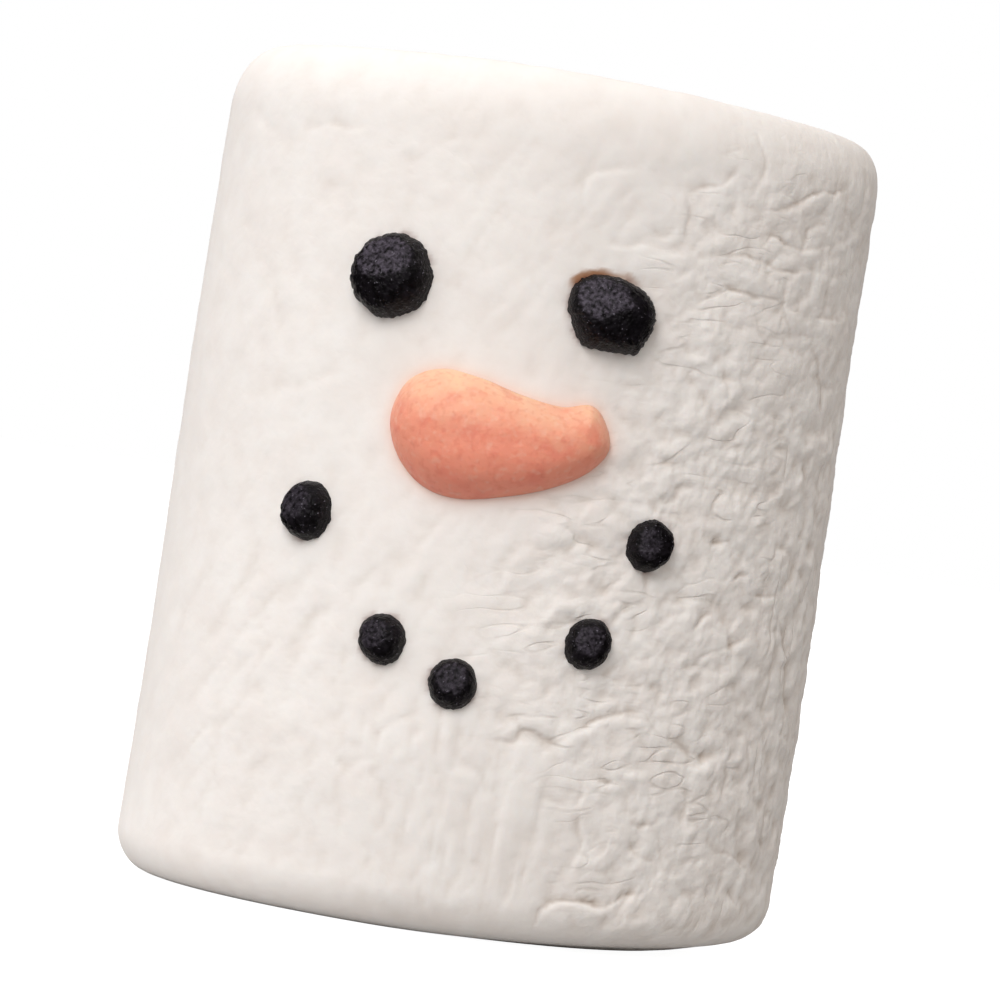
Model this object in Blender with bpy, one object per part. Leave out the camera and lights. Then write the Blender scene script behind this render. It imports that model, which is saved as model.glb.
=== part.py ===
"""A marshmallow with a snowman face in icing, standing on its flat end.

Metres, +Z up. The origin is the middle of the flat end, and the face looks along -Y.
A place on the wall is given as (along, up): along is the arc from the face's middle line,
to the right as seen from the front, and up is the height above the flat end.
"""
import math

import bmesh
import bpy
import numpy as np

MM = 0.001

# Finishes
SKIN_COLOUR = (0.86, 0.82, 0.78)
SKIN_ROUGHNESS = 0.75
BLACK_COLOUR = (0.012, 0.009, 0.011)
BLACK_ROUGHNESS = 0.55
ORANGE_COLOUR = (0.86, 0.36, 0.22)
ORANGE_ROUGHNESS = 0.45

# Marshmallow: an extruded cylinder, cut to length, with soft rims
WIDTH = 29.9 * MM
HEIGHT = 37.95 * MM
RADIUS = WIDTH / 2
TOP_RIM = {"across": 2.0 * MM, "tall": 3.0 * MM}
BASE_RIM = {"across": 1.6 * MM, "tall": 1.9 * MM}
FLAT_MARGIN = 1.2 * MM          # flat strip between the base rim and the middle of the base
SLUMP_ANGLE = math.radians(95)  # side where the base rim curls up off the surface
SLUMP_REACH = math.radians(110)
SLUMP_LIFT = 0.95 * MM
SLUMP_MARGIN = 3.6 * MM
TOP_SAG = 0.3 * MM              # the top is a little lower on the same side
TOP_DISH = 0.25 * MM            # and hollow in its middle
TOP_WAVE = 0.5                  # unevenness of that hollow

# Unevenness of the skin
SWELL_HEIGHT = 0.07 * MM        # slow bulges of the whole body
SWELL_TURNS = (1, 4)            # waves round the body
SWELL_RISES = (1, 3)            # waves over the height
SWELL_COUNT = 5
PUCKER_HEIGHT = 0.18 * MM       # close puckers of the dried skin
PUCKER_TURNS = (9, 19)
PUCKER_RISES = (2, 6)
PUCKER_COUNT = 9
PUCKER_MEAN = 0.55              # of the wave that they follow, so that they keep the body's size
WRINKLED_FROM = 2.0 * MM        # the skin is smooth left of here and puckered right of there
WRINKLED_TO = 9.0 * MM
BACK_WRINKLED_FROM = 24 * MM    # the same, going left from the face to the back
BACK_WRINKLED_TO = 33 * MM
SMOOTH_SHARE = 0.15             # puckers that are left on the smooth side
RIM_BAND = 2.5 * MM             # over which they fade towards both rims
SEED = 24

# Mesh of the body
COLUMNS = 104                   # halved three times towards the middle of each end
CLOSER_AT_FACE = 0.36           # how much closer the columns stand there
CLOSEST_ANGLE = math.radians(22)
WALL_ROWS = 32
RIM_ROWS = 5
CURL_ROWS = 3                   # between the flat of the base and its rim
END_RINGS = (0.86, 0.68, 0.45, 0.22)

# Icing: piped dots and the carrot nose, each seated in a shallow print in the skin
SEAT = 0.15 * MM
GAP = 0.3 * MM
PRINT_MARGIN = 0.45 * MM
PRINT_FADE = 1.1 * MM
DOT_UNEVEN = 0.05               # how far a dot's outline strays from its oval
DOT_GRAIN = 0.05                # millimetres that its grainy top strays

# Points round each piece and rings from its edge to its middle
EYE_MESH = (28, 6)
MOUTH_MESH = (20, 4)
NOSE_MESH = (45, 7)

# Each dot: place on the wall, width and length, lean of its length in degrees, height
DOTS = {
    "eye_left": {"at": (-6.2, 28.0), "size": (3.75, 3.75), "lean": -20, "height": 1.45},
    "eye_right": {"at": (3.6, 27.75), "size": (3.45, 4.2), "lean": 65, "height": 1.4},
    "mouth_1": {"at": (-8.6, 17.4), "size": (2.5, 2.6), "lean": 0, "height": 1.0},
    "mouth_2": {"at": (-4.1, 12.45), "size": (2.1, 2.3), "lean": 26, "height": 0.9},
    "mouth_3": {"at": (-0.8, 11.0), "size": (2.15, 2.25), "lean": 10, "height": 0.9},
    "mouth_4": {"at": (4.75, 13.55), "size": (2.05, 2.35), "lean": -20, "height": 0.9},
    "mouth_5": {"at": (6.9, 18.15), "size": (2.15, 2.4), "lean": -18, "height": 0.9},
}

# Nose: a carrot drawn in icing, with its round end on the left and its blunt tip on the right
NOSE_AT = (-1.2, 21.7)
NOSE_OUTLINE = (
    (4.4, 22.0), (4.05, 23.1), (3.3, 23.75), (2.0, 23.5), (0.2, 23.75), (-1.6, 24.2),
    (-3.4, 24.35), (-4.8, 23.6), (-5.35, 22.0), (-4.8, 20.4), (-3.5, 19.2), (-1.8, 18.85),
    (0.4, 19.3), (2.4, 20.05), (3.8, 21.0),
)
NOSE_HEIGHT = 1.7               # at the round end
NOSE_TIP_HEIGHT = 1.15
NOSE_ROUND_END = (-2.9, 21.6)
NOSE_TIP = (3.2, 22.3)
NOSE_HALF_WIDTH = (2.5, 1.3)    # at the round end and at the tip, where its rounding levels out
NOSE_PRINT = 2.9                # how far its print reaches from the line between those two

# Creases in the skin: places that each runs through, depth and half width, all in millimetres
SHOULDER_SHARE = 0.35           # how far the skin beside a crease swells, as a share of its depth
SHOULDER_AT = 1.9               # half widths from the crease's middle
CREASES = (
    {"through": ((0.8, 8.6), (2.2, 8.9), (4.2, 9.2), (5.4, 10.4), (6.8, 11.1), (8.2, 11.0)),
     "depth": 0.42, "half_width": 0.75},
    {"through": ((8.2, 11.0), (9.0, 9.9), (11.6, 9.5), (14.5, 10.3)), "depth": 0.3, "half_width": 0.7},
    {"through": ((5.3, 8.4), (6.0, 5.4), (5.7, 2.6), (4.6, 0.9)), "depth": 0.3, "half_width": 0.8},
    {"through": ((4.9, 19.7), (6.8, 19.9), (9.4, 19.1), (11.5, 18.0)), "depth": 0.22, "half_width": 0.6},
    {"through": ((3.8, 18.4), (2.6, 16.2), (3.2, 14.8)), "depth": 0.18, "half_width": 0.6},
    {"through": ((9.7, 35.9), (9.9, 34.9), (10.1, 33.2)), "depth": 0.25, "half_width": 0.6},
    {"through": ((6.0, 33.2), (7.5, 34.1), (8.7, 35.2)), "depth": 0.25, "half_width": 0.6},
    {"through": ((1.4, 33.9), (4.0, 32.9), (6.4, 31.9)), "depth": 0.22, "half_width": 0.7},
    {"through": ((9.4, 33.2), (13.2, 34.4), (17.0, 34.6)), "depth": 0.3, "half_width": 0.7},
    {"through": ((12.0, 31.5), (12.4, 28.6), (11.4, 25.6)), "depth": 0.28, "half_width": 0.7},
    {"through": ((15.8, 30.6), (16.4, 26.8), (15.6, 22.4), (16.6, 17.0)), "depth": 0.3, "half_width": 0.8},
    {"through": ((-17.4, 35.0), (-14.6, 33.9), (-11.0, 34.2)), "depth": 0.2, "half_width": 0.8},
    {"through": ((-2.5, 9.6), (-4.2, 8.2), (-5.5, 6.4)), "depth": 0.15, "half_width": 0.8},
    {"through": ((22.0, 34.0), (25.0, 29.0), (23.5, 23.0)), "depth": 0.28, "half_width": 1.0},
    {"through": ((29.0, 16.0), (33.0, 13.0), (38.0, 13.8)), "depth": 0.3, "half_width": 1.0},
    {"through": ((40.0, 31.0), (44.0, 27.5), (45.5, 22.0)), "depth": 0.26, "half_width": 1.0},
    {"through": ((-24.0, 12.0), (-27.5, 9.0), (-33.0, 8.4)), "depth": 0.26, "half_width": 1.0},
)


def smooth_step(value, low, high):
    """0 below low, 1 above high and an even bend between them."""
    share = np.clip((value - low) / (high - low), 0.0, 1.0)
    return share * share * (3.0 - 2.0 * share)


def turn_between(angle, other):
    """Smallest turn between two angles, without its sign."""
    return np.abs((angle - other + math.pi) % (2 * math.pi) - math.pi)


def wall_offset(along, up, place):
    """Arc and height from a place in millimetres on the wall, the short way round."""
    half_turn = math.pi * RADIUS
    arc = (along - place[0] * MM + half_turn) % (2 * half_turn) - half_turn
    return arc, up - place[1] * MM


def distance_to_line(along, up, places):
    """Distance on the wall to the line through the places."""
    nearest = np.full(np.shape(along), np.inf)
    for start, end in zip(places[:-1], places[1:]):
        run = np.array([(end[0] - start[0]) * MM, (end[1] - start[1]) * MM])
        arc, rise = wall_offset(along, up, start)
        share = np.clip((arc * run[0] + rise * run[1]) / run.dot(run), 0.0, 1.0)
        nearest = np.minimum(nearest, np.hypot(arc - share * run[0], rise - share * run[1]))
    return nearest


def waves(along, up, turns, rises, count, rng):
    """A sum of waves that meet themselves round the body, from about -1 to 1."""
    angle = along / RADIUS
    total = np.zeros(np.shape(along))
    for _ in range(count):
        around = rng.integers(turns[0], turns[1] + 1)
        rise = rng.uniform(*rises) * rng.choice((-1, 1)) * 2 * math.pi / HEIGHT
        total += np.sin(around * angle + rise * up + rng.uniform(0, 2 * math.pi))
    return total / math.sqrt(count)


def prints(along, up):
    """How far each place on the wall lies under a piece of icing, from 0 to 1."""
    under = np.zeros(np.shape(along))
    for dot in DOTS.values():
        reach = max(dot["size"]) / 2 * MM + PRINT_MARGIN
        arc, rise = wall_offset(along, up, dot["at"])
        distance = np.hypot(arc, rise)
        under = np.maximum(under, 1.0 - smooth_step(distance, reach, reach + PRINT_FADE))
    distance = distance_to_line(along, up, (NOSE_ROUND_END, NOSE_TIP))
    reach = NOSE_PRINT * MM + PRINT_MARGIN
    return np.maximum(under, 1.0 - smooth_step(distance, reach, reach + PRINT_FADE))


def skin_relief(along, up):
    """How far the skin stands out of the plain cylinder."""
    rng = np.random.default_rng(SEED)
    swell = SWELL_HEIGHT * waves(along, up, SWELL_TURNS, SWELL_RISES, SWELL_COUNT, rng)
    folds = np.abs(waves(along, up, PUCKER_TURNS, PUCKER_RISES, PUCKER_COUNT, rng))
    half_turn = math.pi * RADIUS
    from_face = (along + half_turn) % (2 * half_turn) - half_turn
    wrinkled = np.maximum(smooth_step(from_face, WRINKLED_FROM, WRINKLED_TO),
                          smooth_step(-from_face, BACK_WRINKLED_FROM, BACK_WRINKLED_TO))
    wall_top = HEIGHT - TOP_RIM["tall"]
    above_base = smooth_step(up, BASE_RIM["tall"], BASE_RIM["tall"] + RIM_BAND)
    below_top = 1.0 - smooth_step(up, wall_top - RIM_BAND, wall_top)
    share = SMOOTH_SHARE + (1.0 - SMOOTH_SHARE) * wrinkled * above_base * below_top
    relief = swell + share * PUCKER_HEIGHT * (folds - PUCKER_MEAN)
    for crease in CREASES:
        distance = distance_to_line(along, up, crease["through"]) / (crease["half_width"] * MM)
        valley = np.exp(-distance ** 2)
        shoulder = SHOULDER_SHARE * np.exp(-(distance - SHOULDER_AT) ** 2)
        relief += crease["depth"] * MM * (shoulder - valley)
    under = prints(along, up)
    return relief * (1.0 - under) - SEAT * under


def body_rings():
    """Rings of points from the base's flat to the top, each a pair of radius and height."""
    spread = np.linspace(0.0, 2 * math.pi, COLUMNS, endpoint=False)
    angle = spread - CLOSER_AT_FACE * np.sin(spread - CLOSEST_ANGLE)
    along = angle * RADIUS
    slumped = 1.0 - smooth_step(turn_between(angle, SLUMP_ANGLE), 0.0, SLUMP_REACH)
    base = SLUMP_LIFT * slumped
    top = HEIGHT - TOP_SAG * slumped

    rim_edge = RADIUS - BASE_RIM["across"]
    flat_edge = rim_edge - FLAT_MARGIN - SLUMP_MARGIN * slumped
    rings = []
    for row in range(CURL_ROWS):
        share = row / CURL_ROWS
        rings.append((flat_edge + (rim_edge - flat_edge) * share, base * share ** 2))
    for row in range(RIM_ROWS):
        bend = math.pi / 2 * row / RIM_ROWS
        height = base + BASE_RIM["tall"] * (1.0 - math.cos(bend))
        relief = skin_relief(along, height) * math.sin(bend)
        radius = rim_edge + BASE_RIM["across"] * math.sin(bend) + relief
        rings.append((radius, height))
    foot = base + BASE_RIM["tall"]
    shoulder = top - TOP_RIM["tall"]
    for row in range(WALL_ROWS + 1):
        height = foot + (shoulder - foot) * row / WALL_ROWS
        rings.append((RADIUS + skin_relief(along, height), height))
    for row in range(1, RIM_ROWS + 1):
        bend = math.pi / 2 * row / RIM_ROWS
        height = shoulder + TOP_RIM["tall"] * math.sin(bend)
        relief = skin_relief(along, height)
        radius = RADIUS - TOP_RIM["across"] * (1.0 - math.cos(bend)) + relief * math.cos(bend)
        rings.append((radius, height + relief * math.sin(bend)))
    return angle, rings


def add_ring(mesh, angle, radius, height):
    """Points of one ring round the body's axis."""
    return [mesh.verts.new((r * math.sin(a), -r * math.cos(a), h))
            for a, r, h in zip(angle, radius, height)]


def bridge(mesh, lower, upper):
    """Triangles between two rings of as many points, facing out when upper lies further along."""
    count = len(lower)
    for index in range(count):
        following = (index + 1) % count
        mesh.faces.new((lower[index], lower[following], upper[following]))
        mesh.faces.new((lower[index], upper[following], upper[index]))


def halve(mesh, outer, inner):
    """Triangles between a ring and one inside it with half as many points."""
    count = len(inner)
    for index in range(count):
        following = (index + 1) % count
        before, middle, after = (outer[(2 * index + step) % len(outer)] for step in range(3))
        mesh.faces.new((before, middle, inner[index]))
        mesh.faces.new((middle, after, inner[following]))
        mesh.faces.new((middle, inner[following], inner[index]))


def fan(mesh, ring, middle):
    """Triangles from a ring to one point."""
    for index, point in enumerate(ring):
        mesh.faces.new((point, ring[(index + 1) % len(ring)], middle))


def close_end(mesh, edge, angle, edge_radius, height_at):
    """Fills an end of the body with rings that have fewer points towards the middle."""
    previous = edge
    for number, share in enumerate(END_RINGS):
        step = 2 ** number
        radius = edge_radius[::step] * share
        ring = add_ring(mesh, angle[::step], radius, height_at(radius, angle[::step]))
        if number == 0:
            bridge(mesh, previous, ring)
        else:
            halve(mesh, previous, ring)
        previous = ring
    centre = height_at(np.zeros(1), np.zeros(1))[0]
    fan(mesh, previous, mesh.verts.new((0.0, 0.0, centre)))


def marshmallow_mesh():
    """The body: wall, rims, a flat base and an uneven top."""
    mesh = bmesh.new()
    angle, rings = body_rings()
    points = [add_ring(mesh, angle, radius, height) for radius, height in rings]
    for lower, upper in zip(points[:-1], points[1:]):
        bridge(mesh, lower, upper)

    rim_radius, rim_height = rings[-1]
    rng = np.random.default_rng(SEED + 1)
    lean = rng.uniform(0, 2 * math.pi)

    def top_height(radius, around):
        """Height of the top face, with its dish and a slow wave, level with the rim at the edge."""
        share = radius / rim_radius.mean()
        level = np.interp(around, angle, rim_height, period=2 * math.pi)
        wave = TOP_WAVE * np.sin(2 * around + lean) * share ** 2 * (1.0 - share)
        return HEIGHT + (level - HEIGHT) * share ** 2 - TOP_DISH * (1.0 - share ** 2 + wave)

    def base_height(radius, around):
        return np.zeros(np.shape(radius))

    close_end(mesh, points[-1], angle, rim_radius, top_height)
    close_end(mesh, points[0], angle, rings[0][0], base_height)
    return finish_mesh(mesh, "marshmallow")


def finish_mesh(mesh, name):
    """Turns the working mesh into a named, smooth one with its faces pointing out."""
    bmesh.ops.recalc_face_normals(mesh, faces=mesh.faces)
    data = bpy.data.meshes.new(name)
    mesh.to_mesh(data)
    mesh.free()
    data.shade_smooth()
    data.set_sharp_from_angle(angle=math.radians(60))
    return data


def closed_curve(places, count):
    """Points evenly spread over a smooth closed curve through the places."""
    knots = np.array(places)
    spots = np.arange(count) / count * len(knots)
    index = spots.astype(int)
    t = (spots - index)[:, None]
    p0, p1, p2, p3 = (knots[(index + step) % len(knots)] for step in (-1, 0, 1, 2))
    return 0.5 * (2 * p1 + (p2 - p0) * t + (2 * p0 - 5 * p1 + 4 * p2 - p3) * t ** 2
                  + (3 * p1 - p0 - 3 * p2 + p3) * t ** 3)


def icing_mesh(name, outline, lift_at, rings, grain, rng):
    """A domed piece of icing over an outline, both in millimetres from the piece's own place.

    lift_at gives the height at a place and its share of the way from the middle to the edge.
    The underside follows the round wall, and the piece's place is the point of the wall at the origin.
    """
    mesh = bmesh.new()
    floor = RADIUS - SEAT + GAP

    def add_point(arc, rise, lift):
        radius = floor + lift * MM
        angle = arc * MM / RADIUS
        return mesh.verts.new((radius * math.sin(angle), RADIUS - radius * math.cos(angle), rise * MM))

    rim = [add_point(arc, rise, 0.0) for arc, rise in outline]
    previous = rim
    for ring in range(1, rings):
        share = math.cos(math.pi / 2 * ring / rings)
        loop = [add_point(arc, rise, lift_at(arc, rise, share) + grain * share * rng.uniform(-1, 1))
                for arc, rise in outline * share]
        bridge(mesh, previous, loop)
        previous = loop
    fan(mesh, previous, add_point(0.0, 0.0, lift_at(0.0, 0.0, 0.0)))
    under = [add_point(arc, rise, 0.0) for arc, rise in outline * 0.5]
    bridge(mesh, under, rim)
    fan(mesh, under, add_point(0.0, 0.0, 0.0))
    return finish_mesh(mesh, name)


def dot_outline(dot, count, rng):
    """An oval with a slightly lumpy edge."""
    angle = np.arange(count) / count * 2 * math.pi
    lumps = 1.0 + DOT_UNEVEN * sum(
        np.sin(lobes * angle + rng.uniform(0, 2 * math.pi)) / lobes for lobes in (2, 3, 5))
    x = dot["size"][0] / 2 * np.cos(angle) * lumps
    y = dot["size"][1] / 2 * np.sin(angle) * lumps
    lean = math.radians(dot["lean"])
    return np.stack((x * math.cos(lean) - y * math.sin(lean), x * math.sin(lean) + y * math.cos(lean)), 1)


def nose_lift(outline):
    """Height of the nose in millimetres: rounded in from its edge, and fuller at its round end."""
    start, end = outline, np.roll(outline, -1, axis=0)
    run = end - start

    def lift_at(arc, rise, _):
        offset = np.array((arc, rise)) - start
        share = np.clip((offset * run).sum(1) / (run ** 2).sum(1), 0.0, 1.0)
        from_edge = np.hypot(*(offset - share[:, None] * run).T).min()
        to_tip = (arc + NOSE_AT[0] - NOSE_ROUND_END[0]) / (NOSE_TIP[0] - NOSE_ROUND_END[0])
        height = np.interp(to_tip, (0.0, 1.0), (NOSE_HEIGHT, NOSE_TIP_HEIGHT))
        half_width = np.interp(to_tip, (0.0, 1.0), NOSE_HALF_WIDTH)
        inset = min(from_edge / half_width, 1.0)
        return height * math.sqrt(1.0 - (1.0 - inset) ** 2)

    return lift_at


def dot_lift(height):
    """Height of a dot in millimetres: half an egg."""
    return lambda arc, rise, share: height * math.sqrt(1.0 - share ** 2)


def make_material(name, colour, roughness):
    material = bpy.data.materials.new(name)
    material.use_nodes = True
    shader = material.node_tree.nodes["Principled BSDF"]
    shader.inputs["Base Color"].default_value = (*colour, 1.0)
    shader.inputs["Roughness"].default_value = roughness
    shader.inputs["Metallic"].default_value = 0.0
    return material


def make_piece(data, material):
    data.materials.append(material)
    piece = bpy.data.objects.new(data.name, data)
    bpy.context.scene.collection.objects.link(piece)
    return piece


def set_on_wall(piece, place, face):
    """Places a piece of icing on the wall, with its back to the marshmallow."""
    angle = place[0] * MM / RADIUS
    piece.parent = face
    piece.location = (RADIUS * math.sin(angle), -RADIUS * math.cos(angle), place[1] * MM)
    piece.rotation_euler = (0.0, 0.0, angle)


def build():
    for thing in list(bpy.data.objects):
        bpy.data.objects.remove(thing, do_unlink=True)

    skin = make_material("marshmallow_skin", SKIN_COLOUR, SKIN_ROUGHNESS)
    make_piece(marshmallow_mesh(), skin)

    face = bpy.data.objects.new("face", None)
    bpy.context.scene.collection.objects.link(face)
    rng = np.random.default_rng(SEED + 2)
    for name, dot in DOTS.items():
        count, rings = EYE_MESH if name.startswith("eye") else MOUTH_MESH
        outline = dot_outline(dot, count, rng)
        data = icing_mesh(name, outline, dot_lift(dot["height"]), rings, DOT_GRAIN, rng)
        black = make_material(name + "_icing", BLACK_COLOUR, BLACK_ROUGHNESS)
        set_on_wall(make_piece(data, black), dot["at"], face)

    count, rings = NOSE_MESH
    outline = closed_curve(NOSE_OUTLINE, count) - np.array(NOSE_AT)
    data = icing_mesh("nose", outline, nose_lift(outline), rings, 0.0, rng)
    orange = make_material("nose_icing", ORANGE_COLOUR, ORANGE_ROUGHNESS)
    set_on_wall(make_piece(data, orange), NOSE_AT, face)


build()
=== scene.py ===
import math
from functools import partial

import bpy
import numpy as np
from mathutils import Matrix, Vector


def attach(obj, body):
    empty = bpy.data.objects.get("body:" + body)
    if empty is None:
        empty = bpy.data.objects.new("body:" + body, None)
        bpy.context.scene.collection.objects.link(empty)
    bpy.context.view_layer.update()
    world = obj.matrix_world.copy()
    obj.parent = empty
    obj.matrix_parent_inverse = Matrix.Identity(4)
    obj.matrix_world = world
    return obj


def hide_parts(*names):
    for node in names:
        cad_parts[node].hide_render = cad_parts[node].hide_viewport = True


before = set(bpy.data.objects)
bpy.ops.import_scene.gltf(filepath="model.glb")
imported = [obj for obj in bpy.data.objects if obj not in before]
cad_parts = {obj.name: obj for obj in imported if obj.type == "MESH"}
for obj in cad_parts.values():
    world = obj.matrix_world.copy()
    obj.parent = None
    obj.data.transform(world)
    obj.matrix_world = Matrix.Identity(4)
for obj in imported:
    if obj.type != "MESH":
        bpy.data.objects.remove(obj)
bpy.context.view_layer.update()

# Lengths in this file are millimetres, unless a name says metres. A place on the wall is given as
# (along, up): along is the arc from the face's middle line, to the right as seen from the front,
# and up is the height above the flat end.
METRES = 0.001

# Body, as the solids have it
RADIUS = 14.95
BODY_HEIGHT = 37.95
TOP_RIM = {"across": 2.0, "tall": 3.0}
BASE_RIM = {"across": 1.6, "tall": 1.9}
FLAT_MARGIN = 1.2
SLUMP_ANGLE = math.radians(95)
SLUMP_REACH = math.radians(110)
SLUMP_LIFT = 0.95
SLUMP_MARGIN = 3.6
TOP_SAG = 0.3
TIGHT_RIM = 0.3                  # how much smaller the top rim is on the slumped side
TOP_DISH = 0.25
FOOT_TAPER = {"depth": 1.3, "reach": 9.0}    # how the front of the wall draws in towards the foot

# Mesh of the body: the columns stand closer together on the puckered side of the face. FAR_APART
# gives the cosines, counted from there, where they are far apart and where they are close.
COLUMNS = 352
CLOSER_AT_FACE = 0.65
CLOSEST_ANGLE = math.radians(33)
FAR_APART = (-0.5, 0.4)
CURL_ROWS = 6
RIM_ROWS = 13
WALL_ROWS = 228
TOP_RINGS = 22
BASE_RINGS = 8

# Noise: a cube of random numbers that repeats, and a turn from one octave of the crumple to the
# next, so that the cube's own directions don't show
CUBE = 32
SEED = 11
OCTAVE_TURN = np.array(Matrix.Rotation(math.radians(42), 3, Vector((0.54, 0.64, 0.55)).normalized()))

# Icing: dots (place, width and length, lean in degrees, height) and the nose, as the solids have them.
# A dot's flats are where it settled: the way that each slopes down in degrees from the right, its
# height over the dot's middle, and its slope. An outline, where given, starts from the dot's place.
DOTS = {
    "eye_left": {"at": (-6.2, 28.0), "size": (3.75, 3.75), "lean": -20, "height": 1.45,
                 "flats": ((92, 1.42, 0.42), (-60, 1.48, 0.20))},
    "eye_right": {"at": (3.6, 27.75), "size": (3.45, 4.2), "lean": 65, "height": 1.4,
                  "flats": ((125, 1.46, 0.52), (-70, 1.42, 0.16)),
                  "outline": ((-2.02, 0.26), (-1.75, 1.15), (-1.15, 1.5), (0.0, 1.62), (0.88, 1.35),
                              (1.5, 0.86), (1.86, 0.17), (1.9, -0.43), (1.66, -1.03),
                              (1.3, -1.53), (0.6, -1.63), (-0.27, -1.62), (-0.95, -1.58),
                              (-1.45, -1.2), (-1.77, -0.55))},
    "mouth_1": {"at": (-8.6, 17.4), "size": (2.5, 2.6), "lean": 0, "height": 1.0,
                "flats": ((125, 0.97, 0.32),)},
    "mouth_2": {"at": (-4.1, 12.45), "size": (2.1, 2.3), "lean": 26, "height": 0.9,
                "flats": ((140, 0.90, 0.32),)},
    "mouth_3": {"at": (-0.8, 11.0), "size": (2.15, 2.25), "lean": 10, "height": 0.9,
                "flats": ((100, 0.88, 0.34),)},
    "mouth_4": {"at": (4.75, 13.55), "size": (2.05, 2.35), "lean": -20, "height": 0.9,
                "flats": ((135, 0.90, 0.34),)},
    "mouth_5": {"at": (6.9, 18.15), "size": (2.15, 2.4), "lean": -18, "height": 0.9,
                "flats": ((150, 0.90, 0.34), (60, 0.92, 0.28))},
}
NOSE_AT = (-1.2, 21.7)
NOSE_OUTLINE = (
    (4.4, 22.0), (4.05, 23.1), (3.3, 23.75), (2.0, 23.5), (0.2, 23.75), (-1.6, 24.2),
    (-3.4, 24.35), (-4.8, 23.6), (-5.35, 22.0), (-4.8, 20.4), (-3.5, 19.2), (-1.8, 18.85),
    (0.4, 19.3), (2.4, 20.05), (3.8, 21.0),
)
NOSE_HEIGHTS = (1.7, 1.15)
NOSE_HALF_WIDTHS = (2.5, 1.3)
NOSE_ENDS = ((-2.9, 21.6), (3.2, 22.3))
NOSE_COLOUR_SPAN = (-2.7, 2.5)  # heights from its place over which its colour changes, paler towards the top: partly painted light from above
SUNK = 0.12                     # how far icing reaches into the skin, so that no gap shows
ON_SKIN = 0.15                  # the skin under the icing stands out this far, and the icing with it
FLAT_BLEND = 0.10               # how softly a dot's flats join its dome

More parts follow.
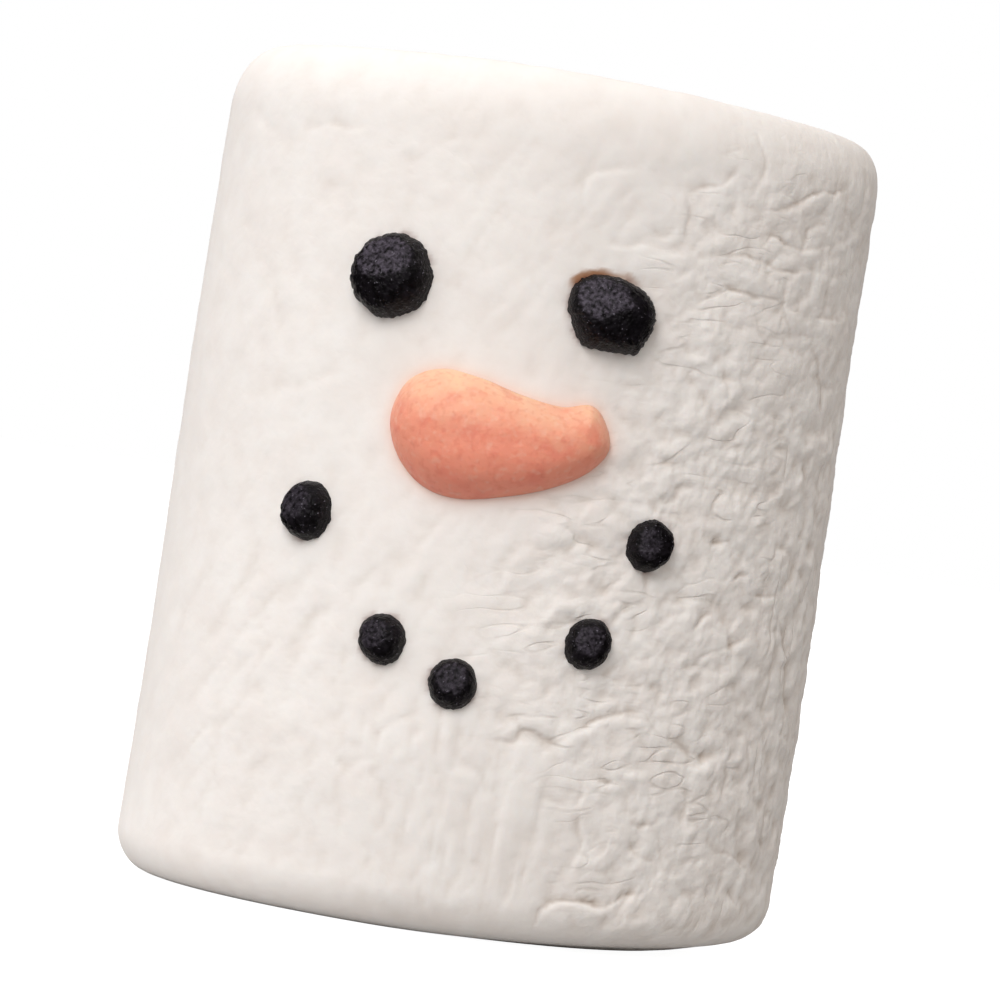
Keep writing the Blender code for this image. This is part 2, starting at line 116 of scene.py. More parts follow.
# Creases that stand out: places that each runs through, and in hundredths of a millimetre how deep
# and half how wide its cleft is, and how far the bank on the right of its run stands out
CREASES = (
    # Plates above the right eye
    (((1.3, 31.7), (1.4, 33.2), (1.9, 33.8), (2.9, 34.0), (4.4, 34.1)), 6, 15, 5),
    (((6.0, 33.4), (6.8, 33.8), (7.7, 34.2), (8.4, 34.8), (8.7, 35.3)), 16, 11, 9),
    (((7.8, 35.5), (8.5, 35.8)), 13, 11, 4),
    (((9.8, 34.5), (9.9, 35.7), (9.4, 36.7)), 16, 14, 16),
    (((6.0, 33.4), (6.4, 32.3), (6.2, 31.3)), 12, 11, 4),
    (((2.4, 30.5), (4.1, 30.9), (5.9, 31.0), (7.5, 31.1)), 7, 13, 6),
    (((4.8, 30.6), (6.2, 30.8), (7.6, 30.9)), 6, 10, 3),
    (((4.9, 31.7), (5.2, 31.4), (5.5, 31.5)), 8, 12, 0),
    # Scales at the upper right
    (((9.3, 33.2), (10.4, 33.4), (11.6, 33.6), (12.4, 34.0), (13.4, 34.5), (15.0, 34.8),
      (16.8, 35.1)), 20, 12, 18),
    (((9.9, 31.6), (10.5, 31.9), (11.0, 32.3), (12.2, 32.1), (13.2, 32.1), (14.2, 32.2),
      (15.3, 32.6)), 18, 12, 12),
    (((7.5, 31.1), (9.2, 31.1), (10.1, 31.2), (11.0, 31.1), (11.8, 30.9), (12.6, 30.9), (14.0, 31.3),
      (15.2, 31.0)), 20, 12, 10),
    (((8.3, 30.0), (9.2, 29.6), (9.7, 29.6), (10.4, 29.5), (11.3, 29.6), (11.9, 29.7),
      (12.2, 30.3)), 20, 12, 8),
    (((13.2, 28.0), (12.9, 28.4), (12.6, 29.0), (12.2, 29.5), (12.2, 30.3),
      (12.8, 31.0)), 16, 12, 12),
    (((14.6, 29.2), (16.0, 29.4), (17.8, 29.6)), 20, 12, 14),
    (((17.0, 24.9), (16.7, 25.9), (15.9, 27.2), (15.0, 27.9)), 20, 12, 12),
    (((10.7, 28.6), (11.1, 27.9), (11.7, 27.6)), 12, 11, 5),
    (((13.4, 32.1), (13.2, 32.7), (13.8, 33.2), (14.8, 33.4)), 14, 11, 10),
    (((9.3, 32.2), (9.8, 32.6), (10.5, 32.6)), 10, 11, 6),
    # Wrinkles round the nose's tip and the right end of the mouth
    (((9.4, 26.3), (9.6, 25.2), (9.6, 24.3)), 10, 11, 4),
    (((4.6, 21.7), (5.5, 21.7), (6.5, 21.8)), 7, 13, 3),
    (((4.2, 21.3), (4.9, 21.0), (5.6, 20.8)), 5, 13, 2),
    (((8.2, 21.2), (7.8, 20.9), (7.4, 20.7), (7.0, 20.2)), 11, 13, 5),
    (((5.1, 19.7), (5.8, 19.8), (6.6, 19.9), (7.2, 19.7), (7.6, 19.5), (8.5, 19.4),
      (9.4, 19.2)), 9, 13, 6),
    (((10.1, 18.7), (10.7, 18.8), (11.2, 18.9)), 20, 14, 10),
    (((11.6, 17.2), (12.0, 17.4), (12.5, 17.5)), 18, 13, 8),
    (((13.4, 16.7), (14.4, 16.6), (15.2, 16.8), (15.0, 17.3)), 20, 12, 10),
    (((15.0, 16.7), (15.9, 15.5), (17.3, 13.9), (17.7, 12.5), (19.5, 10.6)), 24, 13, 16),
    (((7.0, 16.9), (7.2, 16.2)), 6, 10, 2),
    (((3.9, 18.4), (3.5, 17.8), (3.0, 17.1)), 9, 14, 4),
    (((2.5, 18.9), (2.4, 17.8)), 6, 14, 3),
    (((1.0, 17.3), (0.6, 16.1), (0.2, 15.0)), 6, 14, 3),
    (((1.6, 17.8), (1.5, 15.8)), 4, 14, 2),
    (((2.1, 14.1), (2.7, 13.9), (3.2, 13.9), (3.8, 14.3)), 8, 13, 4),
    (((7.9, 15.8), (8.5, 15.8), (9.1, 16.0)), 12, 12, 6),
    (((9.6, 14.8), (10.1, 15.1), (10.8, 15.6)), 15, 12, 8),
    (((10.0, 13.6), (11.3, 13.9), (12.4, 14.5), (13.3, 14.9)), 18, 12, 10),
    (((7.8, 12.0), (8.7, 12.2), (9.7, 12.6)), 13, 12, 6),
    (((7.3, 11.5), (8.3, 11.3), (8.7, 10.4)), 10, 11, 5),
    # Cracks and hollows at the lower right
    (((4.8, 9.6), (4.5, 9.4), (4.2, 9.2), (3.4, 9.2), (2.9, 9.4), (2.4, 9.5), (2.1, 9.0), (1.5, 8.9),
      (0.8, 8.8)), 18, 12, 14),
    (((4.4, 9.5), (5.1, 10.0), (5.9, 10.5), (6.5, 10.8), (7.0, 11.0), (8.1, 10.8), (8.6, 10.4),
      (9.1, 9.8)), 22, 28, 14),
    (((9.1, 9.9), (10.1, 9.8), (10.6, 9.4), (11.4, 9.3), (12.5, 9.5)), 28, 32, 0),
    (((10.1, 8.8), (11.7, 9.1), (12.9, 9.5), (13.4, 10.2)), 6, 14, 16),
    (((11.0, 6.1), (11.0, 8.2)), 4, 12, 14),
    (((6.3, 7.7), (7.0, 7.7)), 16, 13, 6),
    (((8.3, 6.2), (8.8, 6.2), (9.5, 6.2)), 16, 13, 6),
    (((3.4, 6.8), (4.2, 6.7), (5.1, 6.5), (5.4, 6.8), (5.5, 7.3), (5.2, 8.1)), 9, 14, 3),
    (((5.8, 3.2), (5.8, 4.0), (5.9, 4.9), (5.7, 5.9), (5.5, 6.6)), 12, 16, 10),
    (((4.7, 0.7), (4.7, 1.4), (4.8, 1.8), (5.1, 2.2), (5.7, 2.4), (6.6, 2.4), (7.6, 2.4),
      (8.8, 2.7)), 24, 13, 16),
    (((12.9, 5.6), (13.3, 5.4), (13.8, 5.2), (15.7, 5.0), (16.5, 4.6), (17.3, 4.1)), 16, 12, 8),
    (((9.6, 6.3), (10.0, 5.5), (10.5, 4.5), (11.2, 3.5)), 9, 10, 4),
    (((8.3, 5.2), (8.7, 4.8), (9.3, 4.7), (10.0, 4.6)), 14, 12, 8),
    (((12.6, 3.3), (12.9, 2.7), (13.2, 2.0)), 13, 12, 5),
    (((15.2, 3.6), (16.2, 2.8)), 13, 12, 5),
    (((8.2, 2.6), (8.7, 2.8), (9.4, 3.1)), 18, 18, 8),
    (((13.4, 7.7), (13.6, 8.5), (13.3, 9.1)), 14, 12, 8),
    # Faint wrinkles of the left half
    (((-17.4, 34.9), (-16.4, 34.4), (-14.9, 33.8), (-13.7, 33.2)), 7, 16, 3),
    (((-14.2, 34.3), (-12.9, 34.4), (-12.2, 34.0), (-11.0, 34.2), (-9.9, 34.2),
      (-8.2, 34.3)), 6, 13, 3),
    (((-6.7, 33.4), (-6.2, 32.9), (-5.6, 33.4)), 7, 18, 0),
    (((-5.3, 33.6), (-4.6, 34.2), (-4.1, 34.4)), 5, 15, 2),
    (((-15.9, 29.7), (-15.0, 29.1), (-14.0, 27.4)), 5, 14, 3),
    (((-8.3, 31.1), (-9.3, 31.7), (-11.3, 31.7)), 5, 25, 4),
    (((-12.0, 22.6), (-9.9, 22.8), (-8.4, 23.4), (-7.5, 23.7)), 5, 28, 3),
    (((-9.0, 14.6), (-10.1, 13.5), (-10.4, 12.6)), 6, 18, 3),
    (((-7.4, 13.8), (-7.6, 13.0), (-8.8, 11.4)), 6, 18, 3),
    (((-7.6, 12.8), (-8.3, 11.9), (-9.2, 10.9)), 5, 16, 3),
    (((-9.5, 10.0), (-11.6, 8.4)), 4, 14, 3),
    (((-8.8, 6.8), (-10.1, 5.7)), 6, 14, 3),
    (((-5.6, 9.4), (-6.1, 8.6), (-6.4, 7.5), (-7.1, 6.8)), 8, 16, 3),
    (((-2.1, 9.8), (-3.1, 9.1), (-4.2, 8.1)), 8, 14, 4),
    (((-4.7, 8.1), (-4.9, 7.7), (-5.4, 6.7)), 8, 14, 3),
    (((-7.0, 5.5), (-7.7, 4.7)), 7, 14, 2),
    (((-5.1, 6.0), (-5.9, 5.6)), 5, 14, 2),
    (((-0.6, 16.9), (-1.0, 16.0), (-1.1, 15.1)), 6, 18, 2),
    (((-2.5, 15.6), (-3.3, 14.3)), 3, 14, 4),
    (((1.0, 8.0), (0.9, 5.9)), 5, 14, 2),
    (((1.5, 8.0), (1.6, 6.5)), 5, 14, 2),
    (((0.0, 7.4), (0.0, 5.4)), 5, 16, 2),
    (((-1.1, 6.5), (-1.2, 4.7), (-1.0, 3.4)), 4, 14, 2),
)
BANK_WIDTH = 0.75               # how far a crease's bank reaches
VALLEY_WIDTH = 0.4              # how far the soft valley round a cleft reaches
CREASE_REACH = 1.8              # beyond this a crease has no effect

# Left limit of the puckered skin at some heights above the base
PUCKERED_HEIGHTS = (2.0, 8.0, 9.0, 11.0, 14.0, 18.0, 22.0, 26.0, 30.0, 33.0, 35.0)
PUCKERED_STARTS = (5.2, 4.5, 1.4, 0.6, 0.2, 0.8, 3.2, 4.4, 4.6, 6.2, 8.8)
PUCKERED_FADE = (-3.0, 4.0)     # the puckers grow over this distance across the limit
PUCKERED_BACK = (24.0, 33.0)    # the same on the way left from the face to the back

# Relief of the skin: the size of each pattern and how far it stands out or sinks in. The folds are
# narrow furrows that rise to the right, or straight up on the right side. The scales are plates at
# the upper right, and the top has larger ones. PATCHES is the size of stronger and weaker relief.
SWELL = {"size": 13.0, "height": 0.09}
DIMPLES = {"size": 1.1, "height": 0.024}
CRUMPLE = {"size": 1.7, "height": 0.205, "octaves": 6}
SCALES = {"size": 2.0, "height": 0.08, "tilt": 0.25}
FOLDS = {"size": 0.85, "upright": 0.75, "fine": 0.45, "depth": 0.08, "rise": math.radians(36)}
PATCHES = 3.0
TOP_SCALES = {"size": 2.2, "height": 0.10, "tilt": 0.3}
TOP_SWELL = {"size": 2.4, "height": 0.06}

# Where the relief changes: where each change begins and where it is complete, as heights or arcs
BASE_FADE = (0.3, 2.0)
TOP_FADE = (BODY_HEIGHT - 3.0, BODY_HEIGHT - 0.8)
UPPER_HEIGHTS, UPPER_ARCS = (23.5, 26.5), (7.5, 10.5)
SIDE_ARCS = ((11.5, 15.5), (26.0, 33.0))
CALM_ARCS = ((18.0, 21.5), (25.0, 29.0))     # lower relief where the right outline shows
BACK_HOLLOWS, BACK_FOLDS = 0.3, 0.25         # how strong the hollows' painted shade and the fold lines (painted shade and bump) are at the back

# Stains: how far black and orange bleed out, and the brown one above the right eye, with its middle,
# its reach to both sides, the slanting line that it lies above, and where it fades on the right
BLEED_WIDTH, BLUSH_WIDTH = 0.10, 0.25
BROWN = {"width": 0.32, "middle": 3.0, "reach": 1.9, "above": (29.2, 29.8), "fade": (2.6, 4.4)}

# Fine ripples of the smooth skin: lean in degrees, middle of the patch, its reach and its height
RIPPLES = (
    (52, (-11.0, 9.0), 9.0, 0.115),
    (70, (1.0, 14.0), 8.0, 0.115),
    (112, (-14.0, 27.0), 8.0, 0.05),
    (88, (0.0, 5.0), 6.0, 0.21),
    (64, (-1.0, 31.0), 6.0, 0.08),
)

# Photograph: its frame and the camera that took it, worked out from how far both ends bow
PHOTO_SIZE = 1000
PHOTO_LEAN = math.radians(8.8)
CAMERA_DISTANCE = 234.0
CAMERA_HEIGHT = 19.12
FOCAL_PIXELS = 5102
SENSOR_WIDTH = 36.0

# Light: the sky's level and how much it changes from one side to the other, in red, green and blue,
# the way to its bright side, and a wide lamp whose way is given as (left, front, up)
SKY_LEVEL = (0.774, 0.742, 0.718)
SKY_SLOPE = (0.416, 0.424, 0.440)
SKY_BRIGHT_SIDE = (-0.93, 0.02, 0.25)
KEY_LAMP = {"strength": 1.19, "from": (0.270, 0.740, 0.616), "spread": math.radians(28),
            "tint": (1.01, 1.0, 1.0)}

# Floor: half its width, where the marshmallow's surroundings end, and how bright the camera sees it
FLOOR_REACH = 6000.0
FLOOR_RING = (16.0, 24.0)
FLOOR_GLOW = 0.96


def smooth_step(value, low, high):
    share = np.clip((value - low) / (high - low), 0.0, 1.0)
    return share * share * (3.0 - 2.0 * share)


def wall_offset(along, up, place):
    """The arc, by the shorter way round, and the height from a place on the wall."""
    half_turn = math.pi * RADIUS
    return (along - place[0] + half_turn) % (2 * half_turn) - half_turn, up - place[1]


def distance_to_line(along, up, places):
    nearest = np.full(np.shape(along), np.inf)
    for start, end in zip(places[:-1], places[1:]):
        run = np.subtract(end, start)
        arc, rise = wall_offset(along, up, start)
        share = np.clip((arc * run[0] + rise * run[1]) / run.dot(run), 0.0, 1.0)
        nearest = np.minimum(nearest, np.hypot(arc - share * run[0], rise - share * run[1]))
    return nearest


class Grain:
    """Seeded noise over points in space, one row of x, y and z each."""

    def __init__(self, seed):
        self.cube = np.random.default_rng(seed).random((CUBE, CUBE, CUBE, 4))

    def look_up(self, corner):
        index = corner.astype(int) % CUBE
        return self.cube[index[:, 0], index[:, 1], index[:, 2]]

    def cloud(self, points, size):
        """Smooth noise from -1 to 1."""
        spot = points / size
        corner = np.floor(spot)
        share = spot - corner
        share = share * share * (3.0 - 2.0 * share)
        total = np.zeros(len(points))
        for step in np.ndindex(2, 2, 2):
            weight = np.where(step, share, 1.0 - share).prod(1)
            total += weight * self.look_up(corner + step)[:, 3]
        return 2.0 * total - 1.0

    def clouds(self, points, size, octaves, gain=0.5):
        """Noise with finer and finer detail."""
        return sum(gain ** octave * self.cloud(points + 17.0 * octave, size / 2 ** octave)
                   for octave in range(octaves))

    def billows(self, points, size, octaves):
        """Noise that is rounded on top and has narrow furrows."""
        layers = (self.cloud(points + 17.0 * octave, size / 2 ** octave) for octave in range(octaves))
        return sum(np.hypot(layer, 0.07) / 1.7 ** octave for octave, layer in enumerate(layers))

    def crumple(self, points, size, octaves, gain=0.69):
        """Noise like crumpled tissue: flat bits that meet in ridges and furrows by turns."""
        total = np.zeros(len(points))
        for octave in range(octaves):
            points = points @ OCTAVE_TURN
            layer = self.cloud(points + 17.0 * octave, size / 1.5 ** octave)
            total += (-gain) ** octave * np.hypot(layer, 0.05)
        return total

    def warp(self, points, size, reach):
        """The points, each pushed about by smooth noise."""
        push = [self.clouds(points + offset, size, 2) for offset in (0.0, 31.0, 57.0)]
        return points + reach * np.stack(push, 1)

    def cushions(self, points, size, tilt):
        """Rounded cells that meet in furrows, each of its own height and tilted its own way."""
        spot = points / size
        corner = np.floor(spot)
        nearest = np.full(len(points), 9.0)
        second = np.full(len(points), 9.0)
        own = np.zeros(len(points))
        offset = np.zeros((len(points), 3))
        for step in np.ndindex(3, 3, 3):
            cell = corner + step - 1.0
            entry = self.look_up(cell)
            way = spot - cell - entry[:, :3]
            distance = np.linalg.norm(way, axis=1)
            closer = distance < nearest
            second = np.where(closer, nearest, np.minimum(second, distance))
            own = np.where(closer, entry[:, 3], own)
            offset = np.where(closer[:, None], way, offset)
            nearest = np.where(closer, distance, nearest)
        turn = 40.0 * own
        slope = tilt * (0.6 * offset[:, 2] + np.cos(turn) * offset[:, 0] + np.sin(turn) * offset[:, 1])
        from_middle = 1.0 - np.minimum((second - nearest) / 0.6, 1.0)
        return (1.0 - from_middle ** 2) * (0.6 + 0.4 * own) + slope


def leaning(angle, up, rise, stretch):
    """Places on the wall for a pattern that runs up to the right at a slope, drawn out along it."""
    turned = angle - up / math.tan(rise) / RADIUS
    across, along = math.sin(rise), 1.0 / (stretch * math.sin(rise))
    return np.stack((across * RADIUS * np.sin(turned), across * RADIUS * np.cos(turned), along * up), 1)


def around(angle, up, squeeze=(1.0, 1.0)):
    """Points in space for noise on the wall, stretched along and up."""
    return np.stack((RADIUS * np.sin(angle) * squeeze[0], RADIUS * np.cos(angle) * squeeze[0],
                     up * squeeze[1]), 1)


def icing_reach(along, up):
    """Distance from the nearest piece of icing's edge, and each dot's own."""
    own = {}
    for name, dot in DOTS.items():
        if "outline" in dot:
            own[name] = outline_reach(along, up, np.array(dot["outline"]) + dot["at"])
            continue
        arc, rise = wall_offset(along, up, dot["at"])
        lean = math.radians(dot["lean"])
        x = arc * math.cos(lean) + rise * math.sin(lean)
        y = rise * math.cos(lean) - arc * math.sin(lean)
        width, length = dot["size"]
        own[name] = (np.hypot(x * 2 / width, y * 2 / length) - 1.0) * min(width, length) / 2
    own["nose"] = outline_reach(along, up, NOSE_OUTLINE)
    return np.minimum.reduce(list(own.values())), own


def outline_reach(along, up, places):
    """Distance from a closed outline through the places, less than 0 inside it."""
    outline = closed_curve(places, 60)
    edge = distance_to_line(along, up, [*outline, outline[0]])
    return np.where(inside(outline, along, up), -edge, edge)


def inside(outline, along, up):
    """Whether each place lies inside a closed outline."""
    crossings = np.zeros(np.shape(along), int)
    for (x0, y0), (x1, y1) in zip(outline, np.roll(outline, -1, axis=0)):
        spans = (y0 > up) != (y1 > up)
        slope = (x1 - x0) / (y1 - y0) if y1 != y0 else 0.0
        crossings += spans & (along < x0 + (up - y0) * slope)
    return crossings % 2 == 1


def closed_curve(places, count):
    """Points spread over a smooth closed curve through the places."""
    knots = np.array(places)
    spots = np.arange(count) / count * len(knots)
    index = spots.astype(int)
    t = (spots - index)[:, None]
    p0, p1, p2, p3 = (knots[(index + step) % len(knots)] for step in (-1, 0, 1, 2))
    return 0.5 * (2 * p1 + (p2 - p0) * t + (2 * p0 - 5 * p1 + 4 * p2 - p3) * t ** 2
                  + (3 * p1 - p0 - 3 * p2 + p3) * t ** 3)


def puckered(along, up):
    """How puckered the skin is, from 0 to 1, and the arc from the face's middle."""
    from_face, _ = wall_offset(along, up, (0.0, 0.0))
    start = np.interp(up, PUCKERED_HEIGHTS, PUCKERED_STARTS)
    right = smooth_step(from_face - start, *PUCKERED_FADE)
    return np.maximum(right, smooth_step(-from_face, *PUCKERED_BACK)), from_face


def crease_marks(along, up, crease):
    """How far a crease sinks the skin and lifts its bank, the way to its line (less than 0 on one
    side), and how plain the line is."""
    places, depth, half_width, lip = crease[0], *(part / 100 for part in crease[1:])
    height, way, plain = np.zeros((3, len(along)))
    low = np.min(places, axis=0) - CREASE_REACH
    high = np.max(places, axis=0) + CREASE_REACH
    arc, rise = wall_offset(along, up, (low + high) / 2)
    close = (np.abs(arc) < (high - low)[0] / 2) & (np.abs(rise) < (high - low)[1] / 2)
    along, up = along[close], up[close]
    nearest = np.full(len(along), np.inf)
    side, past = np.zeros((2, len(along)))
    done = 0.0
    for start, end in zip(places[:-1], places[1:]):
        run = np.subtract(end, start)
        length = math.hypot(*run)
        arc, rise = wall_offset(along, up, start)
        held = np.clip((arc * run[0] + rise * run[1]) / length ** 2, 0.0, 1.0)
        distance = np.hypot(arc - held * run[0], rise - held * run[1])
        closer = distance < nearest
        side = np.where(closer, run[0] * rise - run[1] * arc, side)
        past = np.where(closer, done + held * length, past)
        nearest = np.where(closer, distance, nearest)
        done += length
    fade = smooth_step(np.minimum(past, done - past) + 0.15, 0.0, 0.3 * done + 0.1)
    cleft = 0.45 * np.exp(-(nearest / half_width) ** 2) + 0.55 * np.exp(-nearest / VALLEY_WIDTH)
    bank = np.exp(-nearest / BANK_WIDTH) * np.where(side < 0, 1.0 - np.exp(-1.4 * nearest / half_width),
                                                    -0.3 * np.minimum(nearest / half_width, 1.0))
    height[close] = fade * (1.1 * lip * bank - depth * cleft)
    way[close] = np.where(side < 0, -nearest, nearest)
    # A deeper crease gets a plainer line, which the material draws both as painted shade and as bump.
    shown = min(max(depth - 0.07, 0.0) / 0.12, 1.0)
    plain[close] = fade * (1.0 - smooth_step(nearest, 0.3, 0.4)) * shown
    return height, way, plain


def ripples(along, up, grain):
    """Fine streaks that lean a different way in each part of the smooth skin."""
    total = np.zeros(len(up))
    for lean, middle, reach, height in RIPPLES:
        arc, rise = wall_offset(along, up, middle)
        turn = math.radians(lean)
        across = arc * math.sin(turn) - rise * math.cos(turn)
        length = arc * math.cos(turn) + rise * math.sin(turn)
        streaks = np.stack((across, length * 0.25, np.full(len(up), 3.0 + lean)), 1)
        here = np.exp(-(arc ** 2 + rise ** 2) / reach ** 2)
        total += height * here * grain.billows(grain.warp(streaks, 1.3, 0.3), 0.85, 3)
    return total


def skin_relief(angle, up, grain):
    """How far the skin stands out of the plain cylinder, and for the lines of its creases and folds
    the way to each (less than 0 on one side) and how plain it is."""
    along = angle * RADIUS
    share, from_face = puckered(along, up)
    points = around(angle, up)
    in_rims = smooth_step(up, *BASE_FADE) * (1.0 - smooth_step(up, *TOP_FADE))
    patchy = 0.5 + 0.5 * grain.cloud(points, PATCHES)
    upper = smooth_step(up, *UPPER_HEIGHTS) * smooth_step(from_face, *UPPER_ARCS)
    side, calm = (smooth_step(from_face, *start) * (1.0 - smooth_step(from_face, *end))
                  for start, end in (SIDE_ARCS, CALM_ARCS))

    wrung = grain.warp(leaning(angle, up, FOLDS["rise"], 1.1) + 7.0, 0.8, 0.25)
    upright = grain.warp(around(angle, up, (1.0, 0.3)), 1.6, 0.3)
    fold = grain.cloud(wrung, FOLDS["size"])
    fold += (grain.cloud(upright, FOLDS["upright"]) - fold) * side
    broken = smooth_step(grain.clouds(points + 41.0, 1.4, 2), -0.35, 0.5)
    furrows = np.hypot(fold, 0.06) + grain.billows(wrung, FOLDS["fine"], 2) / 3.0
    folds = FOLDS["depth"] * furrows * (0.55 + 0.45 * broken)
    tissue = grain.warp(points * (1.0, 1.0, 1.1), 1.5, 0.25)
    crumple = CRUMPLE["height"] * grain.crumple(tissue, CRUMPLE["size"], CRUMPLE["octaves"])
    flat_cells = grain.warp(points * (1.0, 1.0, 1.3), 1.5, 0.5)
    scales = SCALES["height"] * grain.cushions(flat_cells, SCALES["size"], SCALES["tilt"]) * upper
    rumpled = crumple * (1.0 + 0.25 * side) + folds * (1.0 - 0.4 * side)
    puckers = (scales + rumpled * (0.6 + 0.4 * patchy) * (1.0 - 0.45 * upper)) * share

    smooth = ripples(along, up, grain) * (1.0 - share) * (0.4 + 0.6 * patchy)
    dimples = DIMPLES["height"] * grain.clouds(points + 5.0, DIMPLES["size"], 4) * (1.0 - 0.6 * share)
    relief = SWELL["height"] * grain.clouds(points, SWELL["size"], 2) + dimples
    relief += (puckers + smooth) * (1.0 - 0.4 * calm) * in_rims

    # The fold and crease lines are coloured darker in the material, a painted shade, and sunk there in
    # the bump.
    marks = {"fold_way": fold, "fold_plain": broken * share * in_rims * (1.0 - 0.5 * upper),
             "crease_way": np.zeros(len(up)), "crease_plain": np.zeros(len(up))}
    flat = np.stack((along, up, np.zeros(len(up))), 1)
    shifted = grain.warp(flat, 0.9, 0.16)
    strength = 0.65 + 0.5 * grain.cloud(points + 23.0, 0.9)
    for crease in CREASES:
        height, way, plain = crease_marks(shifted[:, 0], shifted[:, 1], crease)
        relief += (0.8 - 0.15 * upper) * strength * height
        nearer = strength * plain > marks["crease_plain"]
        marks["crease_way"][nearer] = way[nearer]
        marks["crease_plain"][nearer] = (strength * plain)[nearer]
    return relief, marks


def body_rows():
    """Rows of points from the base to the top's edge: radius and height of the plain body, and how
    much of the relief goes outwards and upwards."""
    spread = np.linspace(0.0, 2 * math.pi, COLUMNS, endpoint=False)
    angle = spread - CLOSER_AT_FACE * np.sin(spread - CLOSEST_ANGLE)
    from_slump = np.abs((angle - SLUMP_ANGLE + math.pi) % (2 * math.pi) - math.pi)
    slumped = 1.0 - smooth_step(from_slump, 0.0, SLUMP_REACH)
    tightened = 1.0 - smooth_step(from_slump, 0.0, SLUMP_REACH / 2)
    base = SLUMP_LIFT * slumped
    foot = base + BASE_RIM["tall"]
    across, tall = (TOP_RIM[side] * (1.0 - TIGHT_RIM * tightened) for side in ("across", "tall"))
    shoulder = BODY_HEIGHT - TOP_SAG * slumped - tall
    rim_edge = RADIUS - BASE_RIM["across"]
    flat_edge = rim_edge - FLAT_MARGIN - SLUMP_MARGIN * slumped
    rows = []
    for row in range(CURL_ROWS):
        share = row / CURL_ROWS
        rows.append((flat_edge + (rim_edge - flat_edge) * share, base * share ** 2, 0.0, 0.0))
    for row in range(RIM_ROWS):
        bend = math.pi / 2 * row / RIM_ROWS
        out = math.sin(bend)
        sunk = BASE_RIM["tall"] * math.cos(bend)
        rows.append((rim_edge + BASE_RIM["across"] * out, foot - sunk, out, 0.0))
    for row in range(WALL_ROWS + 1):
        rows.append((RADIUS, foot + (shoulder - foot) * row / WALL_ROWS, 1.0, 0.0))
    for row in range(1, RIM_ROWS + 1):
        bend = math.pi / 2 * row / RIM_ROWS
        out, rise = math.cos(bend), math.sin(bend)
        rows.append((RADIUS - across * (1.0 - out), shoulder + tall * rise, out, rise))
    radius, height, out, rise = (np.stack([np.broadcast_to(row[part], COLUMNS) for row in rows])
                                 for part in range(4))
    towards_front = np.clip(np.cos(angle), 0.0, 1.0) ** 2
    above_foot = np.clip(height / FOOT_TAPER["reach"], 0.0, 1.0)
    radius = radius - FOOT_TAPER["depth"] * towards_front * (1.0 - above_foot) ** 2
    return angle, radius, height, out, rise


def columns_close(angle):
    """How close together the columns stand, from 0 at the back to 1."""
    return smooth_step(np.cos(angle - CLOSEST_ANGLE), *FAR_APART)


def softened(values):
    """The values, each row eased towards the rows beside it."""
    padded = np.pad(values, ((1, 1), (0, 0)), mode="edge")
    return (padded[:-2] + 2 * values + padded[2:]) / 4


def even_out(relief, angle):
    """Softens the relief from row to row at the back, where the columns stand far apart."""
    soft = relief
    for _ in range(5):
        soft = softened(soft)
    return soft + (relief - soft) * columns_close(angle)


def hollows(relief, passes=14, depth=0.15):
    """Where the relief lies below its surroundings, from 0 to 1."""
    level = relief
    for _ in range(passes):
        level = softened((np.roll(level, 1, 1) + 2 * level + np.roll(level, -1, 1)) / 4)
    return np.clip((level - relief) / depth, 0.0, 1.0)


def join_rings(rings):
    """Faces between rings of points: (first index, count) each, a lone point at either end. A ring
    has as many points as the one before, or half or twice as many."""
    faces = []
    for (low, low_count), (high, high_count) in zip(rings[:-1], rings[1:]):
        few, many = sorted((low_count, high_count))
        here = np.arange(many if few == 1 else few)
        after = (here + 1) % len(here)
        wide, narrow = (low, high) if low_count > high_count else (high, low)
        if few == many:
            strips = [(high + here, high + after, low + after, low + here)]
        elif few == 1:
            strips = [(wide + here, wide + after, narrow + 0 * here)]
        else:
            middle = wide + 2 * here + 1
            strips = [(wide + 2 * here, middle, narrow + here),
                      (middle, wide + 2 * after, narrow + after),
                      (middle, narrow + after, narrow + here)]
        for corners in strips:
            faces += np.stack(corners if low_count > high_count else corners[::-1], 1).tolist()
    return faces


def ring_mesh(name, rings, way=1):
    """A closed, smooth mesh over rings of points that starts and ends at a lone point. Its faces run
    the other way round where way is -1."""
    firsts = np.cumsum([0] + [len(ring) for ring in rings[:-1]])
    faces = join_rings([(int(first), len(ring)) for first, ring in zip(firsts, rings)])
    mesh = bpy.data.meshes.new(name)
    mesh.from_pydata((np.concatenate(rings) * METRES).tolist(), [], [face[::way] for face in faces])
    mesh.shade_smooth()
    return mesh


def mark_points(mesh, name, values):
    """Stores a number for each point, for the material to read."""
    mesh.attributes.new(name, "FLOAT", "POINT").data.foreach_set("value", values.astype(np.float32))


def ring_points(angles, radius, height):
    return np.stack((radius * np.sin(angles), -radius * np.cos(angles), height), 1)


def step_for(share):
    """Every how many columns a ring at this share of the rim's radius has a point."""
    return 2 ** min(int(math.log2(1.0 / share)), 5)


